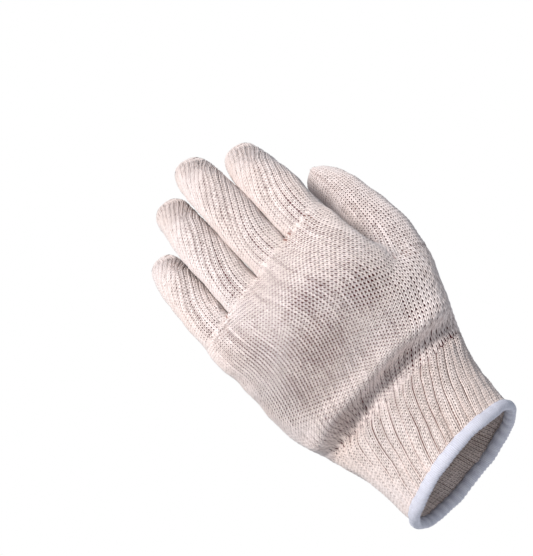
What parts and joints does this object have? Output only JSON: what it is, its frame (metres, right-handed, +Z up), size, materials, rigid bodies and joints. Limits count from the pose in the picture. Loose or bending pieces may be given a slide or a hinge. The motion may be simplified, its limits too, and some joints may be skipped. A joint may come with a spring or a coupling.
{
  "type": "string knit glove",
  "caption": "String knit work glove with a ribbed elastic cuff and an overlocked hem, in its worn form: bent back at the wrist, fingers closed and curving to the palm.",
  "frame": {"origin": "middle of the cuff's opening, where the wrist goes in", "axes": "+Z up the cuff to the fingers, -Y the back of the hand, +X the thumb side"},
  "size_m": [0.1104, 0.0837, 0.2068],
  "materials": {
    "cotton_knit": "matt cream string knit cotton, stockinette",
    "rib_knit": "matt cream elastic rib knit",
    "hem_thread": "white overlock thread, slight sheen"
  },
  "bodies": {
    "root": {"finger_index": "cotton_knit", "finger_middle": "cotton_knit", "finger_ring": "cotton_knit", "finger_little": "cotton_knit", "thumb": "cotton_knit", "hand": "cotton_knit", "rib_cuff": "rib_knit", "hem": "hem_thread"}
  },
  "joints": []
}
